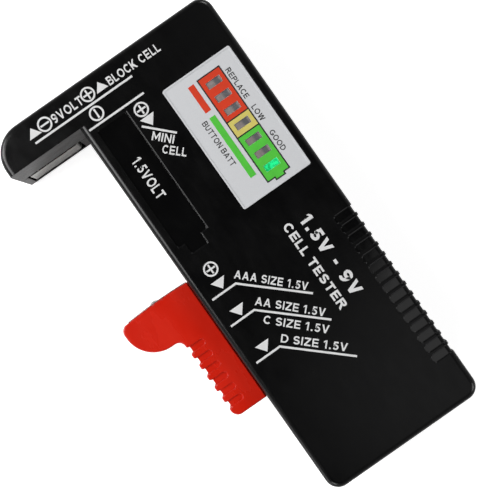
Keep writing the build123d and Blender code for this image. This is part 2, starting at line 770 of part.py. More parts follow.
pad_z = board_bottom
snap_tab_x = [contact_x - snap_width / 2 + sheet for contact_x in snap_contact_x]
snap_tab_y = snap_high - 2.7
pin_side = spring_x + anchor_r
wire_routes = {
    "wire_nine_volt_negative": (
        (snap_tab_x[0], snap_tab_y, seam_z), (snap_tab_x[0] + 4, snap_tab_y, seam_z), (-4, 50.6, 8.6),
        (6.5, 48.6, 8.0), (8.6, 40.0, 9.5), (8.6, 40.0, pad_z)),
    "wire_nine_volt_positive": (
        (snap_tab_x[1], snap_tab_y, seam_z), (snap_tab_x[1] + 4, snap_tab_y, seam_z),
        (9.5, 47.0, 12.5), (11.5, 40.0, 13), (11.5, 40.0, pad_z)),
    "wire_arm_contact": (
        (strip_right + sheet / 2, tab_top - 0.7, 7.2), (strip_right + 4, tab_top - 0.7, 7.2), (-3, 48.2, 4.6),
        (3, 43.5, 4.6), (7.0, 36.0, 8.0), (7.0, 36.0, pad_z)),
    "wire_small_cell": (
        (trunk_left + 2.9, side_low, side_rear + 1.4), (trunk_left + 2.9, side_low - 2.6, side_rear + 1.4),
        (2, 31.0, 4.6), (7.0, 31.0, 8.0), (7.0, 31.0, pad_z)),
    "wire_slider_spring": (
        (pin_side, anchor_y, 9.0), (pin_side + 3.2, anchor_y, 9.0), (4.0, 29.5, 11.0),
        (8.6, 26.0, 13.0), (8.6, 26.0, pad_z)),
}
for wire_name, points in wire_routes.items():
    strand = wire(points)
    strand.label = wire_name
    export_step(strand, "parts/" + wire_name + ".step")


# ================================================================ screws
def screws(places, seat_z, tip_z, head_radius, head_height, shank_radius):
    """Pan-head screws driven towards +Z, each a separate solid with a cross recess."""
    cross_long = head_radius * 1.2
    cross_wide = head_radius * 0.26
    with BuildPart() as group:
        with BuildSketch(Plane.XY.offset(seat_z - head_height)):
            with Locations(*places):
                Circle(head_radius)
        extrude(amount=head_height)
        fillet(group.faces().sort_by(Axis.Z)[:len(places)].edges(), head_height * 0.35)
        with BuildSketch(Plane.XY.offset(seat_z)):
            with Locations(*places):
                Circle(shank_radius)
        extrude(amount=tip_z - seat_z)
        with BuildSketch(Plane.XY.offset(seat_z - head_height)):
            with Locations(*places):
                Rectangle(cross_long, cross_wide)
                Rectangle(cross_wide, cross_long)
        extrude(amount=head_height * 0.55, mode=Mode.SUBTRACT)
    return group.part


housing_screws = screws(housing_screws_at, screw_seat_z, screw_tip_z, screw_head_r, screw_head_h,
                        screw_shank_r)
housing_screws.label = "housing_screws"
export_step(housing_screws, "parts/housing_screws.step")
board_screws = screws(board_screws_at, board_bottom, board_top + 1.9, board_head_r, 1.0, board_screw_r)
board_screws.label = "board_screws"
export_step(board_screws, "parts/board_screws.step")
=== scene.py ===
import json
import math

import bmesh
import bpy
from mathutils import Matrix, Vector


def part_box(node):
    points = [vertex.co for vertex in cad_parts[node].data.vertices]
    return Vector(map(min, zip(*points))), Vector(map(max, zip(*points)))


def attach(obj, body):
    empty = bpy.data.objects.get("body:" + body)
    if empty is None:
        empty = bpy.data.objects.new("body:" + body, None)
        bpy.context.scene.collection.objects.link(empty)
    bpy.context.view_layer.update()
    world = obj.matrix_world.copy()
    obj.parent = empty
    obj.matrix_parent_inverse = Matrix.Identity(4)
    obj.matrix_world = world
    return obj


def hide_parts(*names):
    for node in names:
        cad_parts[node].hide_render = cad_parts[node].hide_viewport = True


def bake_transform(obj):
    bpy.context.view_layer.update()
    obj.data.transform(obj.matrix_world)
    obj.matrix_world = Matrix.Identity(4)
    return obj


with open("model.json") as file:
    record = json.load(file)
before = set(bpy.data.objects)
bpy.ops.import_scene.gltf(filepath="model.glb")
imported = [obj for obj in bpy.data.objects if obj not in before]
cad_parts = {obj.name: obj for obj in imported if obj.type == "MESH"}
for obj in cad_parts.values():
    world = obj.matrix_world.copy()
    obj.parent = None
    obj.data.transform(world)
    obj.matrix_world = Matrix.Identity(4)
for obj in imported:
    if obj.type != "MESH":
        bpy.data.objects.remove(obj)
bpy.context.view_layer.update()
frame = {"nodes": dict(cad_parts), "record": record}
nodes = frame["nodes"]

MM = 0.001
HOUSING = "housing"

# Heights of the printed surfaces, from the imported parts.
FACE_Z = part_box("front_shell")[1].z
LABEL_BORDER_HEIGHT = 0.08 * MM
LABEL_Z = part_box("indicator_label")[1].z - LABEL_BORDER_HEIGHT
CELL_OUTLINE_DEPTH = 0.3 * MM
SUNK_Z = FACE_Z - CELL_OUTLINE_DEPTH
INK = 0.022 * MM
INK_ROOT = 0.02 * MM


# ------------------------------------------------------------------ materials
class Shader:
    """A Principled material with short calls for the node work that every finish here shares."""

    def __init__(self, name, colour, roughness, metallic=0.0, specular=0.5):
        self.material = bpy.data.materials.new(name)
        self.material.use_nodes = True
        self.tree = self.material.node_tree
        self.bsdf = self.tree.nodes["Principled BSDF"]
        self.bsdf.inputs["Base Color"].default_value = (*colour, 1)
        self.bsdf.inputs["Roughness"].default_value = roughness
        self.bsdf.inputs["Metallic"].default_value = metallic
        self.bsdf.inputs["Specular IOR Level"].default_value = specular
        self.position = self.node("ShaderNodeTexCoord").outputs["Object"]

    def node(self, kind, **settings):
        made = self.tree.nodes.new(kind)
        for key, value in settings.items():
            setattr(made, key, value)
        return made

    def link(self, source, target):
        self.tree.links.new(source, target)

    def math(self, operation, first, second=0.0, clamp=False):
        made = self.node("ShaderNodeMath", operation=operation, use_clamp=clamp)
        for socket, value in zip(made.inputs, (first, second)):
            if isinstance(value, (int, float)):
                socket.default_value = value
            else:
                self.link(value, socket)
        return made.outputs[0]

    def noise(self, size, detail=3.0, rough=0.55, stretch=(1, 1, 1)):
        """Noise whose features are about size metres across."""
        mapping = self.node("ShaderNodeMapping")
        mapping.inputs["Scale"].default_value = stretch
        self.link(self.position, mapping.inputs["Vector"])
        made = self.node("ShaderNodeTexNoise")
        made.inputs["Scale"].default_value = 1.0 / size
        made.inputs["Detail"].default_value = detail
        made.inputs["Roughness"].default_value = rough
        self.link(mapping.outputs["Vector"], made.inputs["Vector"])
        return made.outputs["Fac"]

    def spread(self, value, low, high, out_low=0.0, out_high=1.0):
        """Maps low..high to out_low..out_high, held at both ends."""
        made = self.node("ShaderNodeMapRange")
        for key, number in zip(("From Min", "From Max", "To Min", "To Max"), (low, high, out_low, out_high)):
            made.inputs[key].default_value = number
        self.link(value, made.inputs["Value"])
        return made.outputs["Result"]

    def axis(self, name):
        """One coordinate of the surface point, in metres in the object's own space."""
        parts = self.node("ShaderNodeSeparateXYZ")
        self.link(self.position, parts.inputs[0])
        return parts.outputs[name]

    def facing(self, name):
        """One coordinate of the surface normal, in the object's own space."""
        parts = self.node("ShaderNodeSeparateXYZ")
        self.link(self.node("ShaderNodeTexCoord").outputs["Normal"], parts.inputs[0])
        return parts.outputs[name]

    def mix(self, factor, first, second):
        """A colour between two colours."""
        made = self.node("ShaderNodeMix", data_type="RGBA")
        self.link(factor, made.inputs["Factor"])
        for socket, value in ((made.inputs["A"], first), (made.inputs["B"], second)):
            if isinstance(value, tuple):
                socket.default_value = (*value, 1)
            else:
                self.link(value, socket)
        return made.outputs["Result"]

    def edges(self, radius):
        """How near a point is to a sharp or rounded outer edge, 0 to 1, and the softened normal there."""
        bevel = self.node("ShaderNodeBevel", samples=4)
        bevel.inputs["Radius"].default_value = radius
        geometry = self.node("ShaderNodeNewGeometry")
        dot = self.node("ShaderNodeVectorMath", operation="DOT_PRODUCT")
        self.link(bevel.outputs["Normal"], dot.inputs[0])
        self.link(geometry.outputs["Normal"], dot.inputs[1])
        return self.spread(dot.outputs["Value"], 0.995, 0.75), bevel.outputs["Normal"]

    def bump(self, height, depth, normal=None):
        """Relief of the given depth in metres."""
        made = self.node("ShaderNodeBump")
        made.inputs["Distance"].default_value = depth
        self.link(height, made.inputs["Height"])
        if normal is not None:
            self.link(normal, made.inputs["Normal"])
        return made.outputs["Normal"]

    def set(self, socket, value):
        self.link(value, self.bsdf.inputs[socket])


# The housing's front face. Its sunk floors are polished, its own level is spark-textured.
FACE_SLACK = 0.02 * MM
SUNK_NEAR, SUNK_FAR = 0.15 * MM, 0.5 * MM
FLAT = 0.97


def body_plastic():
    """Black spark-textured moulding, polished on the sunk floors, paler and smoother along worn edges, with
    a painted highlight on the face just above each grip groove.
    """
    s = Shader("body_plastic", (0.0026, 0.0026, 0.0027), 0.26)
    worn, soft_normal = s.edges(0.25 * MM)
    blotch = s.noise(9 * MM, 4)
    smear = s.noise(2.2 * MM, 5, 0.6, (1, 0.35, 1))
    spark = s.noise(0.16 * MM, 3, 0.6)
    height = s.axis("Z")
    upward = s.math("GREATER_THAN", s.facing("Z"), FLAT)
    sunk = s.math("MULTIPLY", s.math("LESS_THAN", height, FACE_Z - SUNK_NEAR),
                  s.math("GREATER_THAN", height, FACE_Z - SUNK_FAR))
    polished = s.math("MULTIPLY", sunk, upward)
    on_face = s.math("MULTIPLY", s.math("GREATER_THAN", height, FACE_Z - FACE_SLACK), upward)
    tone = s.mix(s.spread(blotch, 0.3, 0.7), (0.0021, 0.0021, 0.0023), (0.0031, 0.0031, 0.0032))
    tone = s.mix(s.math("MULTIPLY", worn, s.spread(smear, 0.42, 0.6, 0.0, 0.5)), tone, (0.012, 0.012, 0.013))
    rough = s.math("ADD", s.spread(blotch, 0.3, 0.7, 0.205, 0.25), s.spread(smear, 0.35, 0.65, -0.03, 0.03))
    rough = s.math("SUBTRACT", rough, s.math("MULTIPLY", worn, 0.05))
    rough = s.math("SUBTRACT", rough, s.math("MULTIPLY", polished, 0.12))
    s.set("Roughness", rough)
    grain = s.math("MULTIPLY", spark, s.math("SUBTRACT", 1.0, s.math("MULTIPLY", polished, 0.93)))
    shine = s.math("ADD", s.math("MULTIPLY", polished, 0.4), 0.5)
    s.set("Specular IOR Level", s.math("SUBTRACT", shine, s.math("MULTIPLY", on_face, 0.12)))
    lean_x, lean_y = rim_lean(s)
    # Painted highlight: the face strip just above each grip groove is painted paler, where its broken corner
    # catches the light.
    rubbed_and_rim_highlight = s.math("MULTIPLY", s.math("LESS_THAN", lean_y, -0.01), on_face)
    s.set("Base Color", s.mix(rubbed_and_rim_highlight, tone, (0.028, 0.028, 0.029)))
    lean = s.node("ShaderNodeCombineXYZ")
    s.link(s.math("MULTIPLY", lean_x, on_face), lean.inputs["X"])
    s.link(s.math("MULTIPLY", lean_y, on_face), lean.inputs["Y"])
    tilted = s.node("ShaderNodeVectorMath", operation="ADD")
    s.link(soft_normal, tilted.inputs[0])
    s.link(lean.outputs[0], tilted.inputs[1])
    s.set("Normal", s.bump(grain, 0.006 * MM, tilted.outputs[0]))
    return s.material


# Edges on the front face whose corner is broken: the sunk cell outline and the grip grooves.
RIM = 0.16 * MM
OUTLINE_LEAN, GRIP_LEAN = -0.3, 0.22
OUTLINE_RIGHT, OUTLINE_LOW, OUTLINE_HIGH = 0.2 * MM, 10.75 * MM, 43.0 * MM
NUB_EDGE, NUB_FOOT = -1.65 * MM, 7.95 * MM
GRIP_LEFT, GRIP_TOP, GRIP_PITCH, GRIP_WIDTH = 25.3 * MM, -3.53 * MM, 2.74 * MM, 1.94 * MM
GRIP_FOOT = -43.9 * MM


def rim_lean(s):
    """How far the normal leans towards -X beside the cell outline, and along Y beside each grip groove.

    Above a groove the lean is negative and below it positive, as on the two sides of a broken corner.
    """
    x, y = s.axis("X"), s.axis("Y")

    def between(value, low, high):
        return s.math("MULTIPLY", s.math("GREATER_THAN", value, low), s.math("LESS_THAN", value, high))

    side = s.math("MULTIPLY", between(x, OUTLINE_RIGHT, OUTLINE_RIGHT + RIM),
                  between(y, OUTLINE_LOW, OUTLINE_HIGH))
    nub = s.math("MULTIPLY", between(x, NUB_EDGE, NUB_EDGE + RIM), between(y, NUB_FOOT, OUTLINE_LOW))
    lean_x = s.math("MULTIPLY", s.math("ADD", side, nub), OUTLINE_LEAN)
    descent = s.math("SUBTRACT", GRIP_TOP - GRIP_WIDTH / 2, y)
    from_edge = s.math("SUBTRACT", s.math("PINGPONG", descent, GRIP_PITCH / 2), GRIP_WIDTH / 2)
    phase = s.math("FRACT", s.math("DIVIDE", descent, GRIP_PITCH))
    way = s.spread(s.math("GREATER_THAN", phase, 0.5), 0, 1, GRIP_LEAN, -GRIP_LEAN)
    grip = s.math("MULTIPLY", between(x, GRIP_LEFT, 1.0), between(y, GRIP_FOOT, GRIP_TOP + 0.3 * MM))
    lean_y = s.math("MULTIPLY", s.math("MULTIPLY", between(from_edge, 0.0, RIM), way), grip)
    return lean_x, lean_y


def slider_plastic():
    """Red moulding with a soft gloss, faint flow marks and slightly paler worn edges."""
    s = Shader("slider_plastic", (0.70, 0.013, 0.0015), 0.27)
    worn, soft_normal = s.edges(0.2 * MM)
    flow = s.noise(5 * MM, 4, 0.5, (1, 0.4, 1))
    fine = s.noise(0.25 * MM, 3)
    tone = s.mix(s.spread(flow, 0.3, 0.7), (0.68, 0.0115, 0.001), (0.73, 0.0155, 0.002))
    tone = s.mix(s.math("MULTIPLY", worn, s.spread(fine, 0.3, 0.7, 0.1, 0.35)), tone, (0.80, 0.07, 0.04))
    s.set("Base Color", tone)
    s.set("Roughness", s.math("ADD", s.spread(flow, 0.3, 0.7, 0.24, 0.30), s.math("MULTIPLY", worn, 0.06)))
    s.set("Normal", s.bump(fine, 0.004 * MM, soft_normal))
    return s.material


def label_silver():
    """Silver-grey printed film with a fine metallic grain."""
    s = Shader("label_silver", (0.74, 0.755, 0.775), 0.40, metallic=0.1)
    worn, soft_normal = s.edges(0.12 * MM)
    fleck = s.noise(0.13 * MM, 2, 0.7)
    cloud = s.noise(6 * MM, 3)
    tone = s.mix(s.spread(fleck, 0.35, 0.65), (0.715, 0.73, 0.755), (0.775, 0.785, 0.80))
    tone = s.mix(s.math("MULTIPLY", s.spread(cloud, 0.3, 0.7), 0.3), tone, (0.74, 0.74, 0.755))
    tone = s.mix(s.math("MULTIPLY", worn, 0.35), tone, (0.86, 0.87, 0.88))
    s.set("Base Color", tone)
    s.set("Roughness", s.spread(fleck, 0.3, 0.7, 0.36, 0.5))
    s.set("Normal", s.bump(fleck, 0.002 * MM, soft_normal))
    return s.material


def brushed_metal(name, colour, roughness, direction=(1, 8, 8), tarnish=(0.45, 0.42, 0.36)):
    """Plated sheet or wire with fine rolling marks along one axis and a little tarnish."""
    s = Shader(name, colour, roughness, metallic=1.0)
    worn, soft_normal = s.edges(0.12 * MM)
    marks = s.noise(0.9 * MM, 4, 0.6, direction)
    stain = s.noise(3 * MM, 5, 0.65)
    pale = tuple(min(1.0, channel * 1.08) for channel in colour)
    tone = s.mix(s.spread(marks, 0.35, 0.65), tuple(channel * 0.93 for channel in colour), pale)
    tone = s.mix(s.spread(stain, 0.55, 0.75, 0.0, 0.35), tone, tarnish)
    tone = s.mix(s.math("MULTIPLY", worn, 0.4), tone, pale)
    s.set("Base Color", tone)
    s.set("Roughness", s.math("ADD", s.spread(marks, 0.3, 0.7, roughness - 0.05, roughness + 0.07),
                              s.spread(stain, 0.55, 0.75, 0.0, 0.15)))
    s.set("Normal", s.bump(marks, 0.003 * MM, soft_normal))
    return s.material


def moulded(name, colour, roughness, grain=0.3 * MM, depth=0.004 * MM, variation=0.12):
    """Plain moulded plastic, ink or ceramic: fine grain, slight mottling and softened edges."""
    s = Shader(name, colour, roughness)
    worn, soft_normal = s.edges(0.1 * MM)
    mottle = s.noise(2.5 * MM, 4)
    fine = s.noise(grain, 3)
    low = tuple(channel * (1 - variation) for channel in colour)
    high = tuple(min(1.0, channel * (1 + variation)) for channel in colour)
    tone = s.mix(s.spread(mottle, 0.3, 0.7), low, high)
    rubbed_and_rim_highlight = tuple(min(1.0, channel * 1.2 + 0.02) for channel in colour)
    tone = s.mix(s.math("MULTIPLY", worn, 0.2), tone, rubbed_and_rim_highlight)
    s.set("Base Color", tone)
    s.set("Roughness", s.spread(fine, 0.3, 0.7, roughness - 0.05, roughness + 0.06))
    s.set("Normal", s.bump(fine, depth, soft_normal))
    return s.material


# Where the light under a window shows, as shares of the window's length from its left end.
CHIP_START, CHIP_FULL, CHIP_FADE, CHIP_END = 0.42, 0.60, 0.84, 0.93


def window_plastic(name, lit):
    """Smoky window: the chip under it shows as a darker patch towards its right end. Over a lit chip the
    window itself is painted green and given a glow, as painted light from the LED beneath.
    """
    low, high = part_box("window_1")
    length = high.x - low.x
    s = Shader(name, (0.28, 0.26, 0.25), 0.24)
    wobble = s.math("MULTIPLY", s.math("SUBTRACT", s.noise(0.8 * MM, 3), 0.5), 0.5 * MM)
    along = s.math("ADD", s.axis("X"), wobble)
    start = s.spread(along, low.x + CHIP_START * length, low.x + CHIP_FULL * length)
    stop = s.spread(along, low.x + CHIP_FADE * length, low.x + CHIP_END * length)
    chip = s.math("SUBTRACT", start, stop)
    haze = s.noise(1.1 * MM, 4, 0.6)
    if lit:
        # Painted light: the lit window is coloured green and made to glow, standing in for the light of the
        # LED beneath it.
        tone = s.mix(chip, (0.01, 0.45, 0.12), (0.015, 0.55, 0.16))
        s.bsdf.inputs["Emission Strength"].default_value = 0.55
        spots = s.spread(s.noise(0.7 * MM, 2, 0.5), 0.40, 0.52)
        s.set("Emission Color", s.mix(spots, (0.002, 0.22, 0.06), (0.02, 0.95, 0.34)))
    else:
        body = s.mix(s.spread(haze, 0.3, 0.7), (0.235, 0.205, 0.195), (0.325, 0.285, 0.28))
        tone = s.mix(s.math("MULTIPLY", chip, 0.75), body, (0.085, 0.095, 0.105))
    s.set("Base Color", tone)
    s.set("Roughness", s.spread(haze, 0.3, 0.7, 0.2, 0.3))
    soft_normal = s.edges(0.08 * MM)[1]
    s.set("Normal", s.bump(s.noise(0.4 * MM, 2), 0.004 * MM, soft_normal))
    return s.material


def board_green():
    """Solder mask over glass-fibre laminate: a faint weave under a glossy green."""
    s = Shader("board_green", (0.02, 0.16, 0.07), 0.3)
    thread = 0.5 * MM
    weave = s.node("ShaderNodeTexWave", wave_type="BANDS", bands_direction="DIAGONAL")
    weave.inputs["Scale"].default_value = 1.0 / thread / 2
    s.link(s.position, weave.inputs["Vector"])
    mottle = s.noise(3 * MM, 4)
    tone = s.mix(s.spread(weave.outputs["Fac"], 0.2, 0.8), (0.015, 0.13, 0.055), (0.028, 0.19, 0.085))
    tone = s.mix(s.spread(mottle, 0.4, 0.7, 0.0, 0.3), tone, (0.012, 0.10, 0.05))
    s.set("Base Color", tone)
    s.set("Roughness", s.spread(mottle, 0.3, 0.7, 0.24, 0.36))
    s.set("Normal", s.bump(weave.outputs["Fac"], 0.006 * MM))
    return s.material


def led_package(name, lit):
    """Small surface-mounted light: clear resin over a white base."""
    s = Shader(name, (0.70, 0.69, 0.60), 0.22)
    cloud = s.noise(0.5 * MM, 3)
    tone = s.mix(s.spread(cloud, 0.3, 0.7), (0.62, 0.61, 0.50), (0.76, 0.76, 0.70))
    s.set("Base Color", tone)
    s.set("Roughness", s.spread(cloud, 0.3, 0.7, 0.18, 0.3))
    if lit:
        s.bsdf.inputs["Emission Color"].default_value = (0.02, 1.0, 0.42, 1)
        s.bsdf.inputs["Emission Strength"].default_value = 3.0
    return s.material


FINISHES = {
    "body_plastic": body_plastic(),
    "slider_plastic": slider_plastic(),
    "label_silver": label_silver(),
    "window_clear": window_plastic("window_clear", lit=False),
    "window_lit": window_plastic("window_lit", lit=True),
    "led_package": led_package("led_package", lit=False),
    "led_lit": led_package("led_lit", lit=True),
    "nickel": brushed_metal("nickel", (0.90, 0.89, 0.86), 0.22, tarnish=(0.62, 0.60, 0.55)),
    "spring_steel": brushed_metal("spring_steel", (0.55, 0.54, 0.52), 0.28, (6, 1, 6)),
    "screw_steel": brushed_metal("screw_steel", (0.52, 0.52, 0.52), 0.32, (4, 4, 1)),
    "capacitor_can": brushed_metal("capacitor_can", (0.72, 0.72, 0.73), 0.3, (4, 4, 1)),
    "baffle_white": moulded("baffle_white", (0.70, 0.70, 0.67), 0.5),
    "board_green": board_green(),
    "chip_black": moulded("chip_black", (0.018, 0.018, 0.02), 0.5),
    "resistor_ceramic": moulded("resistor_ceramic", (0.03, 0.03, 0.034), 0.45),
    "wire_red": moulded("wire_red", (0.42, 0.016, 0.014), 0.4),
    "wire_black": moulded("wire_black", (0.018, 0.018, 0.018), 0.4),
    "print_white": moulded("print_white", (0.80, 0.80, 0.80), 0.55, 0.12 * MM, 0.003 * MM, 0.05),
    "print_black": moulded("print_black", (0.012, 0.012, 0.012), 0.5, 0.12 * MM, 0.003 * MM),
    "print_red": moulded("print_red", (0.72, 0.042, 0.006), 0.5, 0.12 * MM, 0.003 * MM, 0.06),
    "print_yellow": moulded("print_yellow", (0.72, 0.62, 0.15), 0.5, 0.12 * MM, 0.003 * MM, 0.06),
    "print_green": moulded("print_green", (0.088, 0.60, 0.046), 0.5, 0.12 * MM, 0.003 * MM, 0.06),
}
for row in frame["record"]["subparts"]:
    cad_node = nodes[row["node"]]
    cad_node.data.materials.clear()
    cad_node.data.materials.append(FINISHES[row["material_slot"]])


# ------------------------------------------------------------------ capitals and digits
LETTER_SPACE = 0.17
WORD_SPACE = 0.42
ARC_STEPS = 14


def ribbon(points, thickness):
    """The quads of a stroke through points, with mitred corners."""
    path = [Vector(p) for p in points]
    sides = []
    for index, point in enumerate(path):
        before = (point - path[index - 1]).normalized() if index else None
        after = (path[index + 1] - point).normalized() if index + 1 < len(path) else None
        first = before or after
        along = (first + (after or first)).normalized()
        normal = Vector((-along.y, along.x))
        reach = thickness / 2 / max(0.2, normal.dot(Vector((-first.y, first.x))))
        sides.append((point + normal * reach, point - normal * reach))
    return [(a, b, d, c) for (a, b), (c, d) in zip(sides, sides[1:])]


def arc(x, y, across, up, start, stop):
    """Points along part of an ellipse, between two angles in degrees."""
    angles = [math.radians(start + (stop - start) * step / ARC_STEPS) for step in range(ARC_STEPS + 1)]
    return [(x + across * math.cos(angle), y + up * math.sin(angle)) for angle in angles]


class Glyph:
    """The strokes of one character, one unit high, drawn with an even thickness."""

    def __init__(self, thickness):
        self.t = thickness
        self.h = thickness / 2
        self.shapes = []

    def block(self, x_low, y_low, x_high, y_high):
        self.shapes.append([(x_low, y_low), (x_high, y_low), (x_high, y_high), (x_low, y_high)])

    def shape(self, *points):
        self.shapes.append(list(points))

    def curve(self, points):
        self.shapes += [[tuple(corner) for corner in quad] for quad in ribbon(points, self.t)]

    def stem(self):
        self.block(0, 0, self.t, 1)

    def peak(self, x, half, flip):
        """Two slanting legs that meet at the top, or at the foot when flipped."""
        foot = self.t * 1.1
        flat = self.t * 0.55
        inner = (half - foot) / (half - flat)
        for side in (-1, 1):
            leg = [(half, 0), (half - foot, 0), (0, inner), (0, 1), (flat, 1)]
            self.shape(*[(x + side * a, 1 - b if flip else b) for a, b in leg])

    def bowl(self, x, low, high, width):
        """A rounded loop to the right of a stem."""
        radius = (high - low) / 2 - self.h
        turn = arc(width - self.h - radius, (low + high) / 2, radius, radius, 90, -90)
        self.curve([(x, high - self.h)] + turn + [(x, low + self.h)])


def glyph_a(g):
    half = 0.47
    g.peak(half, half, flip=False)
    slope = half - g.t * 0.55
    low, high = 0.22, 0.22 + g.t * 0.9
    a, b = g.t * 1.1 + low * slope, g.t * 1.1 + high * slope
    g.shape((a, low), (2 * half - a, low), (2 * half - b, high), (b, high))
    return 2 * half


def glyph_b(g):
    g.stem()
    g.bowl(g.t, 0.53 - g.h, 1, 0.78)
    turn = arc(0.55, 0.265 + g.h / 2, 0.27 - g.h, 0.265 - g.h / 2, 90, -90)
    g.curve(turn + [(g.t, g.h)])
    return 0.82


def glyph_c(g):
    g.curve(arc(0.47, 0.5, 0.47 - g.h, 0.5 - g.h, 42, 318))
    return 0.88


def glyph_d(g):
    g.stem()
    g.curve([(g.t, 1 - g.h)] + arc(0.4, 0.5, 0.48 - g.h, 0.5 - g.h, 90, -90) + [(g.t, g.h)])
    return 0.88


def glyph_e(g):
    g.stem()
    for low, width in ((0, 0.76), (0.5 - g.h, 0.7), (1 - g.t, 0.74)):
        g.block(g.t, low, width, low + g.t)
    return 0.76


def glyph_g(g):
    g.curve(arc(0.48, 0.5, 0.48 - g.h, 0.5 - g.h, 42, 322))
    g.block(0.95 - g.t, 0.14, 0.95, 0.53)
    g.block(0.52, 0.53 - g.t, 0.95 - g.t, 0.53)
    return 0.95


def glyph_i(g):
    g.stem()
    return g.t


def glyph_k(g):
    g.stem()
    g.shape((g.t, 0.28), (0.88, 1), (0.88 - 1.4 * g.t, 1), (g.t, 0.28 + 1.5 * g.t))
    slope = 0.72 / (0.88 - g.t)
    near, far = g.t + 0.06, g.t + 0.28
    g.shape((near, 0.28 + 0.06 * slope), (far, 0.28 + 0.28 * slope), (0.9, 0), (0.9 - 1.4 * g.t, 0))
    return 0.9


def glyph_l(g):
    g.stem()
    g.block(g.t, 0, 0.66, g.t)
    return 0.66


def glyph_m(g):
    g.stem()
    g.block(1.02 - g.t, 0, 1.02, 1)
    for x in (g.t, 1.02 - g.t):
        g.shape((x, 1), (x, 1 - 1.7 * g.t), (0.51, 0.1), (0.51, 0.1 + 1.7 * g.t))
    return 1.02


def glyph_n(g):
    g.stem()
    g.block(0.84 - g.t, 0, 0.84, 1)
    g.shape((g.t, 1), (g.t, 1 - 1.5 * g.t), (0.84 - g.t, 0), (0.84 - g.t, 1.5 * g.t))
    return 0.84


def glyph_o(g):
    g.curve(arc(0.5, 0.5, 0.5 - g.h, 0.5 - g.h, 0, 180))
    g.curve(arc(0.5, 0.5, 0.5 - g.h, 0.5 - g.h, 180, 360))
    return 1.0


def glyph_p(g):
    g.stem()
    g.bowl(g.t, 0.41, 1, 0.78)
    return 0.78


def glyph_r(g):
    g.stem()
    g.bowl(g.t, 0.44, 1, 0.82)
    g.shape((0.36, 0.44), (0.36 + 1.25 * g.t, 0.44), (0.9, 0), (0.9 - 1.25 * g.t, 0))
    return 0.9


def glyph_s(g):
    high = arc(0.4, 0.75 - g.h / 2, 0.38 - g.h, 0.25 - g.h / 2, 20, 270)
    low = arc(0.4, 0.25 + g.h / 2, 0.4 - g.h, 0.25 - g.h / 2, 90, -160)
    g.curve(high + low[1:])
    return 0.8


def glyph_t(g):
    g.block(0, 1 - g.t, 0.8, 1)
    g.block(0.4 - g.h, 0, 0.4 + g.h, 1 - g.t)
    return 0.8


def glyph_u(g):
    g.curve([(g.h, 1)] + arc(0.42, 0.38, 0.42 - g.h, 0.38 - g.h, 180, 360) + [(0.84 - g.h, 1)])
    return 0.84


def glyph_v(g):
    g.peak(0.45, 0.45, flip=True)
    return 0.9


def glyph_w(g):
    g.peak(0.33, 0.33, flip=True)
    g.peak(0.93 - 0.2 * g.t, 0.33, flip=True)
    return 1.26 - 0.2 * g.t


def glyph_z(g):
    g.block(0, 0, 0.78, g.t)
    g.block(0, 1 - g.t, 0.78, 1)
    g.shape((0, g.t), (1.35 * g.t, g.t), (0.78, 1 - g.t), (0.78 - 1.35 * g.t, 1 - g.t))
    return 0.78


def glyph_one(g):
    g.block(0.42 - g.t, 0, 0.42, 1)
    g.shape((0, 0.66), (0.42 - g.t, 0.8), (0.42 - g.t, 1), (0, 0.84))
    return 0.5


def glyph_five(g):
    g.block(0.13, 1 - g.t, 0.66, 1)
    g.block(0.1, 0.44, 0.1 + g.t, 1 - g.t)
    g.curve(arc(0.35, 0.33, 0.36 - g.h, 0.33 - g.h, 140, -155))
    return 0.71


def glyph_nine(g):
    for start in (0, 180):
        g.curve(arc(0.36, 0.68, 0.36 - g.h, 0.32 - g.h, start, start + 180))
    g.curve(arc(0.28, 0.66, 0.44 - g.h, 0.66 - g.h, 0, -120))
    return 0.72


def glyph_stop(g):
    g.block(0.03, 0, 0.03 + 1.1 * g.t, 1.1 * g.t)
    return 0.06 + 1.1 * g.t


def glyph_dash(g):
    g.block(0.1, 0.36, 0.46, 0.36 + g.t)
    return 0.56


GLYPHS = {
    "A": glyph_a, "B": glyph_b, "C": glyph_c, "D": glyph_d, "E": glyph_e, "G": glyph_g, "I": glyph_i,
    "K": glyph_k, "L": glyph_l, "M": glyph_m, "N": glyph_n, "O": glyph_o, "P": glyph_p, "R": glyph_r,
    "S": glyph_s, "T": glyph_t, "U": glyph_u, "V": glyph_v, "W": glyph_w, "Z": glyph_z,
    "1": glyph_one, "5": glyph_five, "9": glyph_nine, ".": glyph_stop, "-": glyph_dash,
}


# ------------------------------------------------------------------ printed marks
CIRCLE_STEPS = 56


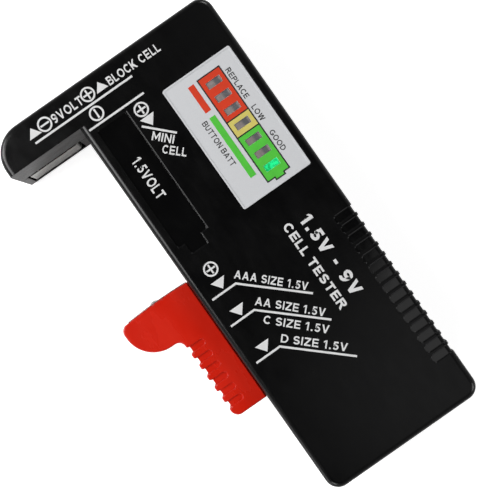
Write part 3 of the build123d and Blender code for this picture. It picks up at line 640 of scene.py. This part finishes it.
class Print:
    """Flat marks laid out in the frame's own millimetres, then raised into a thin film of ink."""

    def __init__(self):
        self.sheet = bmesh.new()

    def polygon(self, *points):
        self.sheet.faces.new([self.sheet.verts.new((x, y, 0)) for x, y in points])

    def bar(self, start, end, thickness):
        """A straight stroke with square ends."""
        a, b = Vector(start), Vector(end)
        side = (b - a).normalized().orthogonal() * thickness / 2
        self.polygon(a + side, a - side, b - side, b + side)

    def bent_line(self, points, thickness):
        """A stroke through points with mitred corners."""
        for quad in ribbon(points, thickness):
            self.polygon(*quad)

    def ring(self, centre, outer, inner):
        for step in range(CIRCLE_STEPS):
            corners = []
            for radius, index in ((inner, step), (outer, step), (outer, step + 1), (inner, step + 1)):
                angle = 2 * math.pi * index / CIRCLE_STEPS
                corners.append((centre[0] + radius * math.cos(angle), centre[1] + radius * math.sin(angle)))
            self.polygon(*corners)

    def words(self, text, start, length, cap, angle=0.0, weight=0.18):
        """A line of capitals from its lower left corner, fitted to a length and a cap height."""
        shapes = []
        reach = 0.0
        for letter in text:
            if letter == " ":
                reach += WORD_SPACE
                continue
            glyph = Glyph(weight)
            glyph_width = GLYPHS[letter](glyph)
            shapes += [[(x + reach, y) for x, y in shape] for shape in glyph.shapes]
            reach += glyph_width + LETTER_SPACE
        reach -= LETTER_SPACE
        turn = Matrix.Rotation(math.radians(angle), 2)
        for shape in shapes:
            places = [Vector(start) + turn @ Vector((x * length / reach, y * cap)) for x, y in shape]
            self.polygon(*places)

    def polarity(self, centre, plus, upright=False, radius=1.75, line=0.43):
        """A circled plus or minus."""
        self.ring(centre, radius, radius - line)
        arm = radius - line - 0.18
        x, y = centre
        if plus or not upright:
            self.bar((x - arm, y), (x + arm, y), line)
        if plus:
            self.bar((x, y + line / 2), (x, y + arm), line)
            self.bar((x, y - line / 2), (x, y - arm), line)
        elif upright:
            self.bar((x, y - arm), (x, y + arm), line)

    def lay(self, name, slot, surface_z, body=HOUSING, lift=0.0):
        """Raises the marks into ink on a surface at that height, as one piece."""
        bmesh.ops.remove_doubles(self.sheet, verts=self.sheet.verts, dist=0.0005)
        foot = (surface_z - INK_ROOT) / MM
        for vertex in self.sheet.verts:
            vertex.co.z = foot
        bmesh.ops.recalc_face_normals(self.sheet, faces=self.sheet.faces)
        raised = bmesh.ops.extrude_face_region(self.sheet, geom=self.sheet.faces[:])
        thickness = (INK_ROOT + INK + lift) / MM
        for item in raised["geom"]:
            if isinstance(item, bmesh.types.BMVert):
                item.co.z += thickness
        bmesh.ops.recalc_face_normals(self.sheet, faces=self.sheet.faces)
        mesh = bpy.data.meshes.new(name)
        self.sheet.to_mesh(mesh)
        self.sheet.free()
        mesh.transform(Matrix.Scale(MM, 4))
        piece = bpy.data.objects.new(name, mesh)
        bpy.context.scene.collection.objects.link(piece)
        mesh.materials.append(FINISHES[slot])
        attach(piece, body)
        return piece


STROKE = 0.5
READS_DOWN = -90.0
LEGEND_WEIGHT = 0.19
LABEL_WEIGHT = 0.165


def print_snap_legend():
    """The row along the arm: marks for the nine-volt contacts and the rule under them."""
    p = Print()
    p.polygon((-21.36, 49.95), (-18.09, 49.95), (-19.77, 52.24))
    p.polarity((-16.55, 51.09), plus=False)
    p.words("9VOLT", (-14.56, 49.8), 8.09, 2.2, weight=LEGEND_WEIGHT)
    p.polarity((-4.74, 51.05), plus=True)
    p.polygon((-2.95, 49.9), (0.23, 49.9), (-1.36, 52.14))
    p.words("BLOCK CELL", (0.57, 49.71), 14.09, 2.1, weight=LEGEND_WEIGHT)
    p.bar((-20.77, 48.71), (5.89, 48.71), STROKE)
    p.lay("print_snap_legend", "print_white", FACE_Z)


def print_small_cell_legend():
    """Marks for the mini cells: polarity, rule, arrow and slanting words."""
    p = Print()
    p.polarity((-5.53, 46.38), plus=False, upright=True)
    p.bar((-9.15, 44.1), (5.89, 44.1), STROKE)
    p.polarity((3.25, 41.32), plus=True)
    p.polygon((1.52, 39.38), (3.4, 36.9), (5.24, 39.38))
    p.bar((1.12, 38.14), (6.83, 32.39), STROKE)
    p.words("MINI", (1.17, 34.37), 5.06, 2.0, -45, weight=LEGEND_WEIGHT)
    p.words("CELL", (1.37, 30.55), 5.56, 2.0, -43, weight=LEGEND_WEIGHT)
    p.lay("print_small_cell_legend", "print_white", FACE_Z)


def print_voltage():
    """The words on the floor of the sunk cell outline."""
    p = Print()
    p.words("1.5VOLT", (-5.48, 32.98), 10.62, 2.4, READS_DOWN, weight=LEGEND_WEIGHT)
    p.lay("print_voltage", "print_white", SUNK_Z)


def print_cell_sizes():
    """Arrows, bent rules and names of the four cell sizes beside the slider."""
    p = Print()
    p.polarity((-4.59, 2.76), plus=True)
    arrow_length = 2.4
    for tip_y, rule_y, end_y in ((-2.45, -3.2, -14.96), (-9.85, -10.49, -22.21), (-19.87, -20.57, -32.33)):
        p.polygon((-6.62, tip_y + arrow_length), (-4.78, tip_y), (-2.9, tip_y + arrow_length))
        p.bent_line(((-8.31, rule_y), (-1.81, rule_y + 0.05), (11.2, end_y)), STROKE)
    p.words("AAA SIZE 1.5V", (-1.51, -1.91), 16.87, 1.9, -44.5, weight=LEGEND_WEIGHT)
    p.words("AA SIZE 1.5V", (-1.11, -9.55), 16.08, 1.9, -44.5, weight=LEGEND_WEIGHT)
    p.words("C SIZE 1.5V", (-1.96, -14.07), 14.99, 1.9, -43.9, weight=LEGEND_WEIGHT)
    p.words("D SIZE 1.5V", (-1.16, -19.82), 15.19, 1.9, -43.0, weight=LEGEND_WEIGHT)
    p.lay("print_cell_sizes", "print_white", FACE_Z)


def print_titles():
    """Two bold lines that read down the right half."""
    p = Print()
    p.words("1.5V - 9V", (18.04, 0.38), 21.14, 3.1, READS_DOWN, weight=0.23)
    p.words("CELL TESTER", (14.07, 1.32), 23.03, 2.2, READS_DOWN, weight=0.22)
    p.lay("print_titles", "print_white", FACE_Z)


# ------------------------------------------------------------------ the scale on the label
SCALE_LEFT, SCALE_RIGHT = 17.1, 23.35
SCALE_LOW, SCALE_HIGH = 11.29, 39.48
SCALE_LINE = 0.3
SCALE_TOP_LINE = 0.012 * MM
RED_FOOT, YELLOW_FOOT = 27.67, 23.45
BAR_LEFT, BAR_RIGHT = 14.62, 16.16
WINDOW_COUNT = 7
WINDOW_GAP = 0.05
NUB_LEFT, NUB_RIGHT, NUB_LOW = 19.23, 21.62, 10.65


def windows_between(low, high):
    """The label's holes whose middle lies between two heights, in millimetres, lowest first."""
    found = []
    for number in range(1, WINDOW_COUNT + 1):
        corner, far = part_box("window_%d" % number)
        hole = (corner.x / MM - WINDOW_GAP, corner.y / MM - WINDOW_GAP,
                far.x / MM + WINDOW_GAP, far.y / MM + WINDOW_GAP)
        if low < (hole[1] + hole[3]) / 2 < high:
            found.append(hole)
    return sorted(found, key=lambda hole: hole[1])


def field(name, slot, low, high, nub=False):
    """One coloured section of the scale, open over its windows. The lowest one runs on into the nub."""
    left, right = SCALE_LEFT + SCALE_LINE / 2, SCALE_RIGHT - SCALE_LINE / 2
    holes = windows_between(low, high)
    p = Print()
    levels = [low] + [edge for hole in holes for edge in (hole[1], hole[3])] + [high]
    for index, (foot, head) in enumerate(zip(levels, levels[1:])):
        columns = [left, holes[0][0], holes[0][2], right]
        for column in range(3):
            if column == 1 and index % 2:
                continue
            a, b = columns[column], columns[column + 1]
            p.polygon((a, foot), (b, foot), (b, head), (a, head))
    if nub:
        p.polygon((NUB_LEFT, NUB_LOW + SCALE_LINE / 2), (NUB_RIGHT, NUB_LOW + SCALE_LINE / 2),
                  (NUB_RIGHT, low), (NUB_LEFT, low))
    p.lay(name, slot, LABEL_Z)


def print_scale():
    """The battery-shaped scale: three coloured fields, outline, bars and words."""
    half = SCALE_LINE / 2
    field("scale_red", "print_red", RED_FOOT, SCALE_HIGH - half)
    field("scale_yellow", "print_yellow", YELLOW_FOOT, RED_FOOT)
    field("scale_green", "print_green", SCALE_LOW + half, YELLOW_FOOT, nub=True)
    bars = (("bar_red", "print_red", 32.19, 39.23), ("bar_green", "print_green", 14.42, 30.8))
    for name, slot, foot, head in bars:
        p = Print()
        p.polygon((BAR_LEFT, foot), (BAR_RIGHT, foot), (BAR_RIGHT, head), (BAR_LEFT, head))
        p.lay(name, slot, LABEL_Z)
    p = Print()
    p.bent_line(((NUB_LEFT, SCALE_LOW + half), (SCALE_LEFT + half, SCALE_LOW + half),
                 (SCALE_LEFT + half, SCALE_HIGH - half), (SCALE_RIGHT - half, SCALE_HIGH - half),
                 (SCALE_RIGHT - half, SCALE_LOW + half), (NUB_RIGHT, SCALE_LOW + half)), SCALE_LINE)
    p.bent_line(((NUB_LEFT, SCALE_LOW + SCALE_LINE), (NUB_LEFT, NUB_LOW + half),
                 (NUB_RIGHT, NUB_LOW + half), (NUB_RIGHT, SCALE_LOW + SCALE_LINE)), SCALE_LINE)
    for rule_y in (RED_FOOT, YELLOW_FOOT):
        p.bar((SCALE_LEFT + SCALE_LINE, rule_y), (SCALE_RIGHT - SCALE_LINE, rule_y), SCALE_LINE)
    p.lay("scale_outline", "print_black", LABEL_Z, lift=SCALE_TOP_LINE)
    p = Print()
    p.words("BUTTON BATT", (12.49, 30.8), 11.8, 1.35, READS_DOWN, weight=LABEL_WEIGHT)
    p.words("REPLACE", (23.8, 37.75), 7.95, 1.3, READS_DOWN, weight=LABEL_WEIGHT)
    p.words("LOW", (23.85, 27.57), 3.95, 1.3, READS_DOWN, weight=LABEL_WEIGHT)
    p.words("GOOD", (23.9, 20.62), 5.25, 1.3, READS_DOWN, weight=LABEL_WEIGHT)
    p.lay("scale_words", "print_black", LABEL_Z)


print_snap_legend()
print_small_cell_legend()
print_voltage()
print_cell_sizes()
print_titles()
print_scale()


# ------------------------------------------------------------------ return spring
WIRE_RADIUS = 0.25 * MM
SPRING_TURNS = 27
STEPS_PER_TURN = 26
HOOK_RADIUS, HOOK_STEPS = 1.3 * MM, 18
EYE_RADIUS, EYE_STEPS = 0.95 * MM, 10
EYE_Y = 2.55 * MM  # middle of the eye through the slider's lug


def spring_path(centre, radius, low_y, high_y, pin_y):
    """The wire's middle line: the hook round the pin, the close coils, then the eye in the lug."""
    path = []
    for step in range(HOOK_STEPS + 1):
        angle = math.radians(-60 + 300 * step / HOOK_STEPS)
        path.append(Vector((centre.x + HOOK_RADIUS * math.sin(angle) * 0.95,
                            pin_y + HOOK_RADIUS * math.cos(angle), centre.z)))
    path.append(Vector((centre.x - 0.2 * MM, high_y + 1.6 * MM, centre.z)))
    path.append(Vector((centre.x + 0.6 * radius, high_y + 0.5 * MM, centre.z + 0.3 * radius)))
    steps = SPRING_TURNS * STEPS_PER_TURN
    for step in range(steps + 1):
        angle = 2 * math.pi * step / STEPS_PER_TURN
        path.append(Vector((centre.x + radius * math.cos(angle), high_y + (low_y - high_y) * (step / steps),
                            centre.z + radius * math.sin(angle))))
    path.append(Vector((centre.x + 0.5 * radius, low_y - 0.6 * MM, centre.z - 0.2 * radius)))
    path.append(Vector((centre.x, low_y - 1.3 * MM, centre.z)))
    for step in range(EYE_STEPS + 1):
        angle = math.radians(30 + 270 * step / EYE_STEPS)
        path.append(Vector((centre.x + EYE_RADIUS * math.sin(angle), EYE_Y + EYE_RADIUS * math.cos(angle),
                            centre.z)))
    return path


def return_spring():
    """The real extension spring: close coils, with a hook round the anchor pin and one through the lug."""
    low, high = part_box("return_spring")
    pin_low, pin_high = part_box("spring_anchor_pin")
    centre = (low + high) / 2
    radius = (high.x - low.x) / 2 - WIRE_RADIUS
    path = spring_path(centre, radius, low.y, high.y, (pin_low.y + pin_high.y) / 2)
    curve = bpy.data.curves.new("return_spring_coil", "CURVE")
    curve.dimensions = "3D"
    curve.bevel_depth = WIRE_RADIUS
    curve.bevel_resolution = 3
    curve.use_fill_caps = True
    spline = curve.splines.new("POLY")
    spline.points.add(len(path) - 1)
    for point, place in zip(spline.points, path):
        point.co = (*place, 1)
    holder = bpy.data.objects.new("holder", curve)
    bpy.context.scene.collection.objects.link(holder)
    bpy.context.view_layer.update()
    mesh = bpy.data.meshes.new_from_object(holder.evaluated_get(bpy.context.evaluated_depsgraph_get()))
    bpy.data.objects.remove(holder)
    piece = bpy.data.objects.new("return_spring_coil", mesh)
    bpy.context.scene.collection.objects.link(piece)
    mesh.materials.clear()
    mesh.materials.append(FINISHES["spring_steel"])
    mesh.polygons.foreach_set("use_smooth", [True] * len(mesh.polygons))
    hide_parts("return_spring")
    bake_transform(piece)


return_spring()


# ------------------------------------------------------------------ floor, light and camera
def floor():
    """A pale sheet that looks evenly white from above, as a light table does."""
    reach = 3.0
    drop = 0.2 * MM
    mesh = bpy.data.meshes.new("floor")
    mesh.from_pydata([(-reach, -reach, 0), (reach, -reach, 0), (reach, reach, 0), (-reach, reach, 0)], [],
                     [(0, 1, 2, 3)])
    sheet = bpy.data.objects.new("floor", mesh)
    sheet.location.z = -drop
    bpy.context.scene.collection.objects.link(sheet)
    s = Shader("floor_paper", (0.72, 0.72, 0.72), 0.85, specular=0.1)
    s.set("Base Color", s.mix(s.noise(0.4, 3), (0.71, 0.71, 0.71), (0.73, 0.73, 0.73)))
    seen = s.node("ShaderNodeLightPath").outputs["Is Camera Ray"]
    s.bsdf.inputs["Emission Color"].default_value = (1, 1, 1, 1)
    s.set("Emission Strength", s.spread(seen, 0, 1, 0.0, 0.8))
    mesh.materials.append(s.material)


def panel(name, place, target, size, radiance):
    """A soft rectangular light of even brightness, aimed at a point."""
    light = bpy.data.lights.new(name, "AREA")
    light.shape = "RECTANGLE"
    light.size, light.size_y = size
    light.energy = radiance * math.pi * size[0] * size[1]
    holder = bpy.data.objects.new(name, light)
    holder.location = place
    holder.rotation_euler = (Vector(target) - Vector(place)).to_track_quat("-Z", "Y").to_euler()
    bpy.context.scene.collection.objects.link(holder)


def studio():
    """Softboxes up and to the left, diagonal fills, and two dim cards that the polished floors mirror."""
    panel("key_left", (-0.36, 0.19, 0.50), (0, 0.05, 0), (0.36, 0.36), 5.0)
    panel("key_corner", (-0.44, 0.46, 0.34), (0, 0, 0), (0.30, 0.26), 7.0)
    panel("edge_left", (-0.52, -0.24, 0.10), (0, 0, 0.02), (0.30, 0.14), 1.6)
    panel("fill_front_right", (0.44, -0.46, 0.40), (0, 0, 0), (0.26, 0.26), 4.0)
    panel("fill_back_right", (0.46, 0.44, 0.42), (0, 0, 0), (0.24, 0.24), 5.0)
    panel("fill_front_left", (-0.44, -0.46, 0.42), (0, 0, 0), (0.22, 0.22), 4.0)
    panel("card_above", (0.10, -0.205, 0.60), (0.02, -0.03, 0), (0.20, 0.265), 0.38)
    panel("card_right", (0.19, 0.24, 0.60), (0.03, 0.04, 0), (0.14, 0.34), 0.16)
    world = bpy.data.worlds.new("studio")
    bpy.context.scene.world = world
    world.use_nodes = True
    tree = world.node_tree
    parts = tree.nodes.new("ShaderNodeSeparateXYZ")
    tree.links.new(tree.nodes.new("ShaderNodeTexCoord").outputs["Generated"], parts.inputs[0])
    low_sky, high_sky = 0.3, 0.9
    low_glow, high_glow = 0.24, 0.01
    rise = tree.nodes.new("ShaderNodeMapRange")
    limits = {"From Min": low_sky, "From Max": high_sky, "To Min": low_glow, "To Max": high_glow}
    for key, number in limits.items():
        rise.inputs[key].default_value = number
    tree.links.new(parts.outputs["Z"], rise.inputs["Value"])
    background = tree.nodes["Background"]
    background.inputs["Color"].default_value = (1, 1, 1, 1)
    tree.links.new(rise.outputs["Result"], background.inputs["Strength"])


def camera():
    """Square to the front face, a quarter of a metre up, turned so the tester leans to the left."""
    above_face = 225 * MM
    turn = math.radians(-35)
    made = bpy.data.cameras.new("camera")
    made.sensor_width = 36.0
    made.lens = 73.45
    made.shift_x = -0.0133
    made.shift_y = 0.0189
    made.clip_start = 0.01
    holder = bpy.data.objects.new("camera", made)
    holder.location = (3.9 * MM, 1.2 * MM, FACE_Z + above_face)
    holder.rotation_euler = (0, 0, turn)
    bpy.context.scene.collection.objects.link(holder)
    bpy.context.scene.camera = holder


floor()
studio()
camera()
bpy.context.scene.view_settings.view_transform = "Standard"
